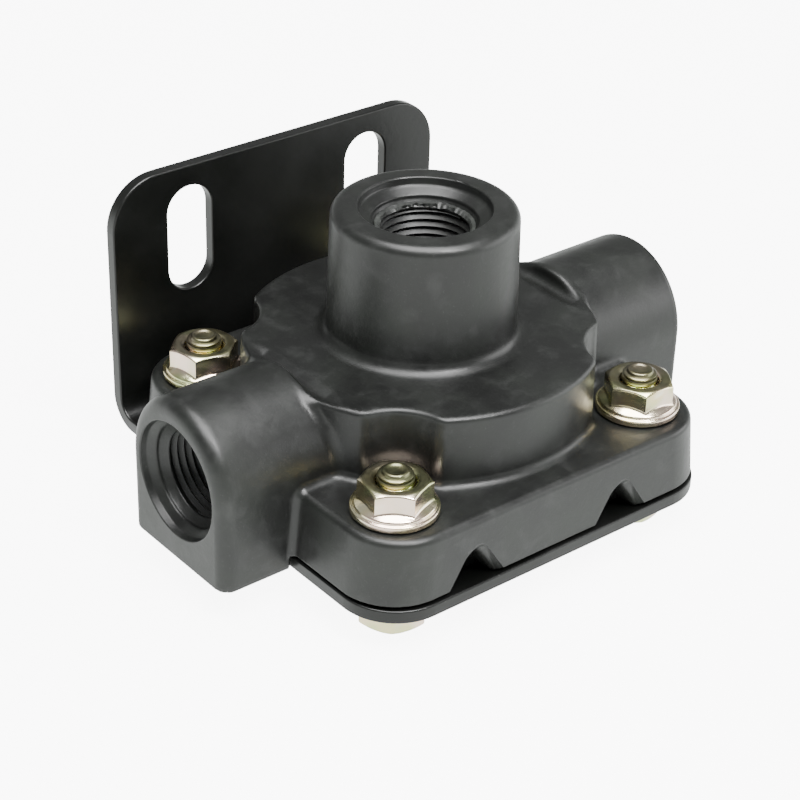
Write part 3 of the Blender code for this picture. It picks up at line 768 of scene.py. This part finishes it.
def moulded_nylon(name, color, shine=0.33):
    """Black glass-filled nylon: flow marks, fibre specks and a fine uneven grain."""
    finish = Finish(name)
    flow = finish.noise(90, 6, 0.6, distortion=0.6)
    patches = finish.noise(210, 4, 0.6, distortion=0.4)
    specks = finish.noise(2400, 2, 0.6)
    lighter = tuple(min(1.0, c * 2.6 + 0.006) for c in color)
    green = (color[0] * 1.15, color[1] * 1.25, color[2] * 1.12)
    darker = tuple(c * 0.85 for c in color)
    tone = finish.tint(darker, green, flow, 0.35, 0.68)
    tone = finish.tint(tone, lighter, patches, 0.5, 0.74, 0.3)
    tone = finish.tint(tone, lighter, specks, 0.62, 0.78, 0.6)
    rough = finish.between(flow, 0.3, 0.72, shine, shine + 0.1)
    rough = rough + finish.between(patches, 0.4, 0.7, 0, 0.06)
    grain = finish.noise(3000, 3, 0.6) * 0.35 + finish.noise(800, 3, 0.5) * 0.5
    finish.bump(grain * 0.5 + patches * 0.7 + flow * 0.6, 0.00012, 0.5)
    return finish.set(Base_Color=tone, Roughness=rough, Specular_IOR_Level=0.42)


def sheet_paint(name, color):
    """Black paint on steel sheet: slight orange peel, dust and scuffed spots."""
    finish = Finish(name)
    peel = finish.noise(900, 2, 0.5)
    cloud = finish.noise(40, 4, 0.6)
    dust = finish.noise(1500, 3, 0.7)
    lighter = tuple(c * 1.8 + 0.004 for c in color)
    tone = finish.tint(color, lighter, cloud, 0.4, 0.75, 0.5)
    tone = finish.tint(tone, (0.12, 0.12, 0.11), dust, 0.7, 0.8, 0.5)
    rough = finish.between(cloud, 0.3, 0.7, 0.28, 0.36) + finish.between(dust, 0.6, 0.8, 0, 0.15)
    finish.bump(peel + cloud * 0.3, 0.00004, 0.5)
    return finish.set(Base_Color=tone, Roughness=rough, Specular_IOR_Level=0.38)


def painted_shade_mask(finish):
    """Painted shade on the zinc: the nuts' tops, the insides of their mouths and the bolt ends are
    darkened.
    """
    height = finish.axis("Z")
    across, along = (finish.axis(name) for name in "XY")
    across = across.at_least(0 - across) - BOLT_HALF * MM
    along = along.at_least(0 - along) - BOLT_HALF * MM
    apart = across * across + along * along
    level = DATUM[2] + (FLANGE_TOP + SEAT_GAP + NUT_HEIGHT) * MM
    mouth = finish.between(apart, (4.2 * MM) ** 2, (4.6 * MM) ** 2, 1, 0)
    mouth = mouth * finish.between(height, level - 1.6 * MM, level - 1.2 * MM)
    return mouth.at_least(finish.between(height, level - 0.3 * MM, level - 0.05 * MM))


def yellow_zinc(name, color):
    """Chromated zinc: gold with green and pink tints, fine scratches and a few dull spots."""
    finish = Finish(name)
    first = finish.noise(130, 2, 0.5, distortion=0.8)
    second = finish.noise(110, 2, 0.5, vector=finish.mapped(offset=(0.3, 0.1, 0.2)))
    spots = finish.noise(900, 3, 0.6)
    green = (0.64, 0.68, 0.36)
    pink = (1.0, 0.78, 0.69)
    pale = (1.0, 0.96, 0.76)
    dull = (0.33, 0.31, 0.18)
    # Dark olive laid over the nuts' tops, their mouths and the bolt ends as painted shade
    painted_shade_tone = (0.10, 0.10, 0.06)
    tone = finish.tint(green, color, first, 0.38, 0.6)
    tone = finish.tint(tone, pink, second, 0.43, 0.6, 0.8)
    tone = finish.tint(tone, pale, first, 0.56, 0.72, 0.8)
    tone = finish.tint(tone, dull, spots, 0.66, 0.78, 0.3)
    marks = finish.noise(700, 1, 0.5, vector=finish.mapped(scale=(1, 1, 2.5)))
    # Painted shade: the nuts' tops, their mouths and the bolt ends are darkened towards dark olive
    # and made rougher
    painted_shade = painted_shade_mask(finish)
    tone = finish.mix(painted_shade * 0.86, tone, painted_shade_tone)
    rough = finish.between(marks, 0.35, 0.75, 0.17, 0.25)
    rough = rough + finish.between(spots, 0.66, 0.8, 0, 0.12) + painted_shade * 0.12
    finish.bump(marks, 0.00002, 0.3)
    return finish.set(Base_Color=tone, Roughness=rough, Metallic=1.0)


def soft_rubber(name, color):
    """Black rubber with a greyer bloom in patches."""
    finish = Finish(name)
    bloom = finish.noise(120, 4, 0.6)
    lighter = tuple(c * 2.0 + 0.004 for c in color)
    tone = finish.tint(color, lighter, bloom, 0.45, 0.8, 0.6)
    finish.bump(finish.noise(2000, 2, 0.6), 0.00004, 0.5)
    return finish.set(Base_Color=tone, Roughness=finish.between(bloom, 0.3, 0.7, 0.6, 0.8))


def turned_metal(name, color):
    """Bright metal with fine lines round the axis."""
    finish = Finish(name)
    lines = finish.noise(900, 3, 0.6, vector=finish.mapped(scale=(1, 1, 5)))
    cloud = finish.noise(160, 3, 0.6)
    darker = tuple(c * 0.75 for c in color)
    tone = finish.tint(darker, color, cloud, 0.35, 0.7)
    rough = finish.between(lines, 0.3, 0.7, 0.2, 0.36)
    finish.bump(lines, 0.00002, 0.5)
    return finish.set(Base_Color=tone, Roughness=rough, Metallic=1.0)


def pale_floor(name, glow):
    finish = Finish(name)
    haze = finish.noise(3, 2, 0.5)
    tone = finish.tint((0.38, 0.38, 0.38), (0.40, 0.40, 0.40), haze, 0.3, 0.7)
    return finish.set(Base_Color=tone, Roughness=0.9, Emission_Color=(1, 1, 1),
                      Emission_Strength=glow)


# Properties

def length(name, default, description="Millimetres", **limits):
    return FloatProperty(name=name, default=default, description=description, **limits)


def color(name, default, description):
    return FloatVectorProperty(name=name, default=default, description=description,
                               subtype="COLOR")


class ValveFinishProps(bpy.types.PropertyGroup):
    nylon: color("Body nylon", (0.0048, 0.0051, 0.0048), "Colour of the moulded body")
    paint: color("Bracket paint", (0.002, 0.0022, 0.0019), "Colour of the bracket's paint")
    zinc: color("Fastener plating", (0.84, 0.73, 0.40), "Colour of nuts and bolts")


class ValveSizeProps(bpy.types.PropertyGroup):
    body_cell: length("Body cell", 0.64, "Mesh size on the body, in millimetres", min=0.4, max=3.0)
    nut_cell: length("Nut cell", 0.2, "Mesh size on a nut, in millimetres", min=0.1, max=1.0)
    port_turns: IntProperty(name="Port thread turns", description="Turns of thread in each port",
                            default=9, min=1, max=12)
    thread_pitch: length("Port thread pitch", THREAD_PITCH * MM, "Pitch of the pipe thread",
                         unit="LENGTH", precision=5)


# Operators

class VALVE_OT_body(bpy.types.Operator):
    """Build the moulded body and the threads in its ports"""
    bl_idname = "valve.body"
    bl_label = "Moulded body"

    def body_grid(self, cell):
        """Grid lines for the body, closer together where it has its edges."""
        def width(half, beyond, within, fine):
            return graded(-half - beyond, (-half + within, fine), (half - within, cell),
                          (half + beyond, fine))

        heights = graded(-4.3, (0.1, cell), (1.3, 0.2), (10.0, cell), (14.0, 0.4), (23.2, cell),
                         (27.6, 0.4), (BODY_TOP - 3.9, cell), (BODY_TOP + 0.9, 0.3))
        return width(ARM_REACH, 0.9, 2.1, 0.33), width(FLANGE_HALF, 1.1, 1.3, 0.4), heights

    def execute(self, context):
        sizes = context.scene.valve_sizes
        color = tuple(context.scene.valve_finishes.nylon)
        nylon = moulded_nylon("body_nylon", color)
        mesh = formed_mesh("body_moulding", body_distance, self.body_grid(sizes.body_cell))
        moulding = add_object("body_moulding", mesh)
        ports = port_frames()
        recesses = (SUPPLY_RECESS, DELIVERY_RECESS, DELIVERY_RECESS)
        cutters = [port_cutter(f"{name}_mouth", port, recess)
                   for (name, port), recess in zip(ports.items(), recesses)]
        cutters += [notch_cutter("notch", center) for center in NOTCHES]
        carve(moulding, cutters)
        shade_moulding(moulding.data)
        coat(moulding, nylon)
        install(moulding, "valve", "body_nylon", "valve_body")

        tree = helix_tree("port_thread", 4)
        dull = moulded_nylon("thread_nylon", tuple(c * 1.6 for c in color), 0.42)
        pitch, turns = sizes.thread_pitch / MM, sizes.port_turns
        shape = (turns, THREAD_ROOT + 0.05, THREAD_ROOT - 0.3, turns * pitch, pitch * 0.52)
        run_in = Matrix.Translation((0, 0, (THREAD_START + 0.6) * MM))
        for name, port in ports.items():
            thread = helix(f"{name}_thread", tree, shape, dull, port @ run_in)
            install(thread, "valve", "body_nylon")
        pale = moulded_nylon("burr_nylon", tuple(c * 3.0 for c in color), 0.4)
        burr = burr_mesh("supply_burr", ports["supply"], math.radians(-60))
        install(add_object("supply_burr", burr, pale), "valve", "body_nylon")
        return {"FINISHED"}


class VALVE_OT_bracket(bpy.types.Operator):
    """Build the folded bracket with rounded corners and slots"""
    bl_idname = "valve.bracket"
    bl_label = "Folded bracket"

    upright_half: length("Upright half width", 36.6)
    bend: length("Inner bend radius", 3.5)
    corner: length("Upright corner radius", 9.5)
    slot_place: length("Slot place", 20.2, "Millimetres from the middle")
    slot_half: length("Slot half width", 4.8)
    slot_low: length("Slot foot", 26.3, "Lower round centre, millimetres")
    slot_high: length("Slot head", 37.5, "Upper round centre, millimetres")

    def relief(self, corner, signs, radius, low, high, along):
        """What rounds a corner off: all that lies outside a quarter turn."""
        center = (corner[0] - signs[0] * radius, corner[1] - signs[1] * radius)
        start = {(1, 1): 0, (-1, 1): 90, (-1, -1): 180, (1, -1): 270}[signs]
        points = arc(center, radius, start, start + 90, 16)
        beyond = (corner[0] + signs[0] * CUT_BEYOND, corner[1] + signs[1] * CUT_BEYOND)
        if signs[0] * signs[1] > 0:
            outline = [(beyond[0], points[0][1]), *points, (points[-1][0], beyond[1]), beyond]
        else:
            outline = [(points[0][0], beyond[1]), *points, (beyond[0], points[-1][1]), beyond]
        return prism("relief", outline, low, high, along)

    def execute(self, context):
        front, behind = UPRIGHT_BACK - SHEET, UPRIGHT_BACK + CUT_BEYOND
        through = (front - CUT_BEYOND, behind, "Y")
        center = (front - self.bend, self.bend)
        outline = [(-FLOOR_FRONT, -SHEET), *arc(center, self.bend + SHEET, -90, 0, 16),
                   (UPRIGHT_BACK, UPRIGHT_TOP), (front, UPRIGHT_TOP),
                   *arc(center, self.bend, 0, -90, 16), (-FLOOR_FRONT, 0)]
        sheet = prism("bracket_sheet", outline, -FLOOR_HALF, FLOOR_HALF, "X")
        cutters = []
        for side in SIDES:
            foot = (side * FLOOR_HALF, -FLOOR_FRONT)
            cutters.append(self.relief(foot, (side, -1), CORNER, CUT_LOW, CUT_BEYOND, "Z"))
            top = (side * self.upright_half, UPRIGHT_TOP)
            cutters.append(self.relief(top, (side, 1), self.corner, *through))
            edge, far = side * self.upright_half, side * (FLOOR_HALF + CUT_BEYOND)
            start = FLANGE_HALF - CORNER / 2
            trim = [(edge, start + 1.4), (edge + side * 0.45, start + 0.35), (far, start),
                    (far, behind), (edge, behind)]
            cutters.append(prism("trim", trim, CUT_LOW, UPRIGHT_TOP + CUT_BEYOND, "Z"))
            place = side * self.slot_place
            slot = arc((place, self.slot_high), self.slot_half, 0, 180, 24)
            slot += arc((place, self.slot_low), self.slot_half, 180, 360, 24)
            cutters.append(prism("slot", slot, *through))
        holes = [(x * BOLT_HALF, y * BOLT_HALF, BOLT_HOLE) for x in SIDES for y in SIDES]
        for x, y, radius in (*holes, (0, 0, EXHAUST_HOLE)):
            hole = [(0, CUT_LOW), (radius, CUT_LOW), (radius, CUT_BEYOND), (0, CUT_BEYOND)]
            cutters.append(add_object("hole", turned_mesh("hole", hole, (x, y), 64)))
        carve(sheet, cutters)
        soften_edges(sheet, 0.35)
        coat(sheet, sheet_paint("bracket_paint", context.scene.valve_finishes.paint))
        install(sheet, "valve", "bracket_paint", "mounting_bracket")
        return {"FINISHED"}


class VALVE_OT_fasteners(bpy.types.Operator):
    """Build the four flange nuts and the four bolts"""
    bl_idname = "valve.fasteners"
    bl_label = "Nuts and bolts"

    across_flats: length("Across flats", 11.1)
    nut_height: length("Nut height", NUT_HEIGHT)
    flange_radius: length("Flange radius", 7.55)
    bolt_radius: length("Bolt radius", 3.175)
    head_height: length("Head height", 5.9)
    protrusion: length("Bolt protrusion", 1.7)

    def hexagon(self, x, y, turn, above, corner, rounding):
        """A hexagon with its corners turned off; above is the height over its domed end."""
        angles = math.radians(turn) + np.radians((30, 90, 150))
        flats = [np.abs(x * math.cos(a) + y * math.sin(a)) for a in angles]
        dome = (np.hypot(x, y) - self.across_flats / 2 + corner) * 0.5 + above * 0.866
        return cut(np.maximum.reduce(flats) - self.across_flats / 2, dome, rounding)

    def nut_distance(self, place, turn, foot):
        rim_top, skirt_foot, skirt_top, mouth_radius = 1.15, 1.25, 3.4, 4.1

        def distance(x, y, z):
            x, y, z = x - place[0], y - place[1], z - foot
            radius = np.hypot(x, y)
            past_rim, above = radius - self.flange_radius, z - self.nut_height
            six = cut(self.hexagon(x, y, turn, above, 0.25, 0.22), above, 0.15)
            rim = cut(past_rim, z - rim_top, 0.3)
            slope = past_rim * 0.55 + (z - skirt_foot) * 0.835
            skirt = cut(slope, past_rim + 0.55, 0.2)
            skirt = cut(skirt, z - skirt_top, 0.2)
            nut = join(rim, skirt, 0.15)
            nut = np.maximum(join(nut, np.maximum(six, 0.3 - z), 0.3), -z)
            nut = np.maximum(nut, self.bolt_radius + 0.3 - radius)
            return cut(nut, (mouth_radius - radius) * 0.6 + above * 0.8, 0.15)
        return distance

    def head_distance(self, place, turn, foot):
        top = foot + self.head_height
        seat_height = 1.15

        def distance(x, y, z):
            x, y = x - place[0], y - place[1]
            radius = np.hypot(x, y)
            head = cut(self.hexagon(x, y, turn, foot - z, 0.2, 0.2), foot - z, 0.12)
            head = cut(head, z - top, 0.15)
            seat = cut(radius - self.flange_radius, top - seat_height - z, 0.3)
            return join(head, cut(seat, z - top, 0.12), 0.3)
        return distance

    def shank_profile(self, foot, end):
        """A shank whose end tapers in two thread turns to a dished point, as (radius, height)."""
        core = self.bolt_radius - 0.42
        steps = ((core, 2.3), (3.17, 2.1), (3.17, 1.5), (3.1, 1.32), (2.75, 1.24), (2.72, 1.06),
                 (3.0, 0.96), (3.02, 0.8), (2.9, 0.68), (2.4, 0.58), (2.34, 0.45), (2.3, 0.2),
                 (2.15, 0.05), (1.9, 0), (1.6, 0.03), (1.45, 0.16), (1.0, 0.26), (0.5, 0.3),
                 (0, 0.32))
        return [(0, foot), (core, foot), *((radius, end - drop) for radius, drop in steps)]

    def formed(self, name, distance, place, low, high, cell):
        """Mesh of a nut or a head between two heights."""
        reach = self.flange_radius + 0.6
        grid = [graded(c - reach, (c + reach, cell)) for c in place]
        grid.append(graded(low - 0.55, (high + 0.6, cell)))
        return formed_mesh(name, distance, grid)

    def execute(self, context):
        zinc = yellow_zinc("yellow_zinc", context.scene.valve_finishes.zinc)
        cell = context.scene.valve_sizes.nut_cell
        foot = FLANGE_TOP + SEAT_GAP
        top = foot + self.nut_height
        end = top + self.protrusion
        head_foot = -SHEET - SEAT_GAP - self.head_height
        head_top = head_foot + self.head_height
        tree = helix_tree("bolt_thread", 4)
        core = self.bolt_radius - 0.5
        turns = BOLT_THREAD_RISE / BOLT_THREAD_PITCH
        thread_foot = end - BOLT_THREAD_DROP - BOLT_THREAD_RISE
        places = [(x * BOLT_HALF, y * BOLT_HALF) for y in SIDES for x in SIDES]
        nut_turns = (200.3, 238.0, 222.0, 15.0)
        head_turns = (231.0, 12.0, 47.0, 25.0)
        for number, place, nut_turn, head_turn in zip((1, 2, 3, 4), places, nut_turns, head_turns):
            def fit(name, mesh, *nodes):
                piece = add_object(f"{name}_{number}", mesh, zinc)
                install(piece, "valve", "yellow_zinc", *(f"{node}_{number}" for node in nodes))

            shape = self.nut_distance(place, nut_turn, foot)
            fit("nut", self.formed("nut", shape, place, foot, top, cell), "flange_nut")
            shape = self.head_distance(place, head_turn, head_foot)
            mesh = self.formed("bolt_head", shape, place, head_foot, head_top, cell * 1.3)
            fit("bolt_head", mesh, "cover_bolt")
            profile = self.shank_profile(head_top - 1, end)
            fit("bolt_shank", turned_mesh("bolt_shank", profile, place, 64))

            matrix = Matrix.Translation((place[0] * MM, place[1] * MM, thread_foot * MM))
            thread = helix(f"bolt_thread_{number}", tree,
                           (turns, core, core, BOLT_THREAD_RISE, 0.4), zinc, matrix)
            install(thread, "valve", "yellow_zinc")
        return {"FINISHED"}


class VALVE_OT_cover(bpy.types.Operator):
    """Build the exhaust cover and its sealing ring"""
    bl_idname = "valve.cover"
    bl_label = "Exhaust cover"

    def execute(self, context):
        nylon = moulded_nylon("cover_nylon", context.scene.valve_finishes.nylon)
        groove, groove_half, groove_floor, rim_top = 25.6, 0.95, 1.9, 3.5
        inner, outer = groove - groove_half, groove + groove_half
        profile = [(5.5, -1.5), (5.9, -SHEET), (10.95, -SHEET), (11.0, 0.3), (27.5, 0.3),
                   (27.5, rim_top), (outer, rim_top), (outer, groove_floor),
                   (inner, groove_floor), (inner, rim_top), (23.2, rim_top), (23.2, 4.7),
                   (9.5, 4.7), (7.3, 8.1), (5.7, 8.1), (5.5, 7.4), (5.5, -1.5)]
        cover = turned_piece("exhaust_seat_cover", profile, 0.35, nylon)
        install(cover, "valve", "body_nylon", "exhaust_cover")
        ring = arc((groove, groove_floor + 0.95), 0.65, 0, 360, 16)[:-1]
        rubber = soft_rubber("ring_rubber", (0.014, 0.014, 0.014))
        seal = add_object("sealing_ring", turned_mesh("sealing_ring", ring, closed=True), rubber)
        install(seal, "valve", "rubber", "cover_o_ring")
        return {"FINISHED"}


class VALVE_OT_poppet(bpy.types.Operator):
    """Build the diaphragm, its spring seat and the spring"""
    bl_idname = "valve.poppet"
    bl_label = "Diaphragm and spring"

    def execute(self, context):
        rubber = soft_rubber("diaphragm_rubber", (0.018, 0.018, 0.018))
        profile = [(0, 8.4), (8.5, 8.4), (9.5, 8.6), (15.2, 8.6), (16.0, 9.0), (16.0, 10.4),
                   (15.4, 10.9), (9.0, 10.9), (8.4, 10.7), (6.3, 10.7), (6.3, 10.9), (0, 10.9)]
        disc = turned_piece("diaphragm_disc", profile, 0.3, rubber)
        install(disc, "poppet", "rubber", "diaphragm")
        brass = turned_metal("seat_brass", (0.72, 0.53, 0.24))
        profile = [(0, 11.2), (6.0, 11.2), (6.05, 12.4), (1.8, 12.4), (1.7, 13.8), (0, 14.0)]
        seat = turned_piece("spring_plate", profile, 0.25, brass)
        install(seat, "poppet", "seat_brass", "spring_seat")

        steel = turned_metal("spring_steel", (0.6, 0.6, 0.58))
        tree = helix_tree("spring_coils", 12)
        low, high, wire, coil = 12.7, 23.9, 0.45, 5.15
        shape = (5.5, coil, coil, high - low - 2 * wire, wire)
        start = Matrix.Translation((0, 0, (low + wire) * MM))
        spring = helix("diaphragm_coils", tree, shape, steel, start)
        install(spring, "valve", "spring_steel", "diaphragm_spring")
        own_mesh(spring)
        return {"FINISHED"}


class VALVE_OT_stage(bpy.types.Operator):
    """Set up the floor, the light and the camera"""
    bl_idname = "valve.stage"
    bl_label = "Stage"

    def area(self, name, place, target, size, power):
        light = bpy.data.lights.new(name, "AREA")
        light.shape = "RECTANGLE"
        light.size, light.size_y = size
        light.energy = power
        obj = add_object(name, light)
        obj.location = place
        aim = Vector(target) - Vector(place)
        obj.rotation_euler = aim.to_track_quat("-Z", "Y").to_euler()

    def surroundings(self, above, below):
        """A world that is dim overhead and paler towards the floor."""
        world = bpy.data.worlds.new("studio")
        world.use_nodes = True
        nodes, links = world.node_tree.nodes, world.node_tree.links
        place = nodes.new("ShaderNodeTexCoord")
        parts = nodes.new("ShaderNodeSeparateXYZ")
        links.new(place.outputs["Generated"], parts.inputs[0])
        level = nodes.new("ShaderNodeMapRange")
        ends = {"From Min": -0.1, "From Max": 0.1, "To Min": below, "To Max": above}
        for name, value in ends.items():
            level.inputs[name].default_value = value
        links.new(parts.outputs["Z"], level.inputs["Value"])
        links.new(level.outputs["Result"], nodes["Background"].inputs["Strength"])
        nodes["Background"].inputs["Color"].default_value = (0.97, 1.0, 0.975, 1)
        return world

    def camera(self):
        angles = (CAMERA_AZIMUTH, CAMERA_ELEVATION, CAMERA_ROLL)
        azimuth, elevation, roll = (math.radians(v) for v in angles)
        level = math.cos(elevation)
        back = Vector((math.sin(azimuth) * level, -math.cos(azimuth) * level,
                       math.sin(elevation)))
        right = Vector((0, 0, 1)).cross(back).normalized()
        up = back.cross(right)
        turned_right = right * math.cos(roll) + up * math.sin(roll)
        turned_up = up * math.cos(roll) - right * math.sin(roll)
        place = Vector(to_world(CAMERA_TARGET)) + back * CAMERA_DISTANCE * MM
        data = bpy.data.cameras.new("camera")
        data.lens = CAMERA_LENS
        data.sensor_width = 36
        data.clip_start = 0.01
        obj = add_object("camera", data)
        turn = Matrix((turned_right, turned_up, back)).transposed().to_4x4()
        obj.matrix_world = Matrix.Translation(place) @ turn
        bpy.context.scene.camera = obj

    def execute(self, context):
        half = 4.0
        mesh = bpy.data.meshes.new("floor")
        corners = [(-half, -half, 0), (half, -half, 0), (half, half, 0), (-half, half, 0)]
        mesh.from_pydata(corners, [], [(0, 1, 2, 3)])
        floor = add_object("floor", mesh, pale_floor("pale_floor", 8.0))
        floor.visible_glossy = False
        context.scene.world = self.surroundings(0.37, 2.35)
        middle = (0, 0, 0.03)
        self.area("overhead", (-0.14, -0.14, 1.1), middle, (0.9, 0.9), 42)
        self.area("key", (0.03, -0.46, 0.72), middle, (0.15, 0.15), 6.8)
        self.area("right", (0.85, -0.55, 0.30), middle, (0.9, 0.5), 7)
        self.camera()
        return {"FINISHED"}


class VALVE_PT_panel(bpy.types.Panel):
    """Lists the valve's sizes and finishes, with a button for each build step"""
    bl_idname = "VALVE_PT_panel"
    bl_label = "Quick exhaust valve"
    bl_space_type = "VIEW_3D"
    bl_region_type = "UI"
    bl_category = "Valve"

    def draw(self, context):
        column = self.layout.column()
        for group in (context.scene.valve_sizes, context.scene.valve_finishes):
            for name in group.bl_rna.properties.keys():
                if name not in ("rna_type", "name"):
                    column.prop(group, name)
        for operator in OPERATORS:
            column.operator(operator.bl_idname)


OPERATORS = (VALVE_OT_body, VALVE_OT_bracket, VALVE_OT_fasteners, VALVE_OT_cover, VALVE_OT_poppet,
             VALVE_OT_stage)
CLASSES = (ValveFinishProps, ValveSizeProps, *OPERATORS, VALVE_PT_panel)


def register():
    for item in CLASSES:
        bpy.utils.register_class(item)
    bpy.types.Scene.valve_finishes = PointerProperty(type=ValveFinishProps)
    bpy.types.Scene.valve_sizes = PointerProperty(type=ValveSizeProps)


def unregister():
    del bpy.types.Scene.valve_sizes
    del bpy.types.Scene.valve_finishes
    for item in reversed(CLASSES):
        bpy.utils.unregister_class(item)


def main():
    register()
    bpy.ops.valve.body()
    bpy.ops.valve.bracket()
    bpy.ops.valve.fasteners()
    bpy.ops.valve.cover()
    bpy.ops.valve.poppet()
    bpy.ops.valve.stage()


if __name__ == "__main__":
    main()
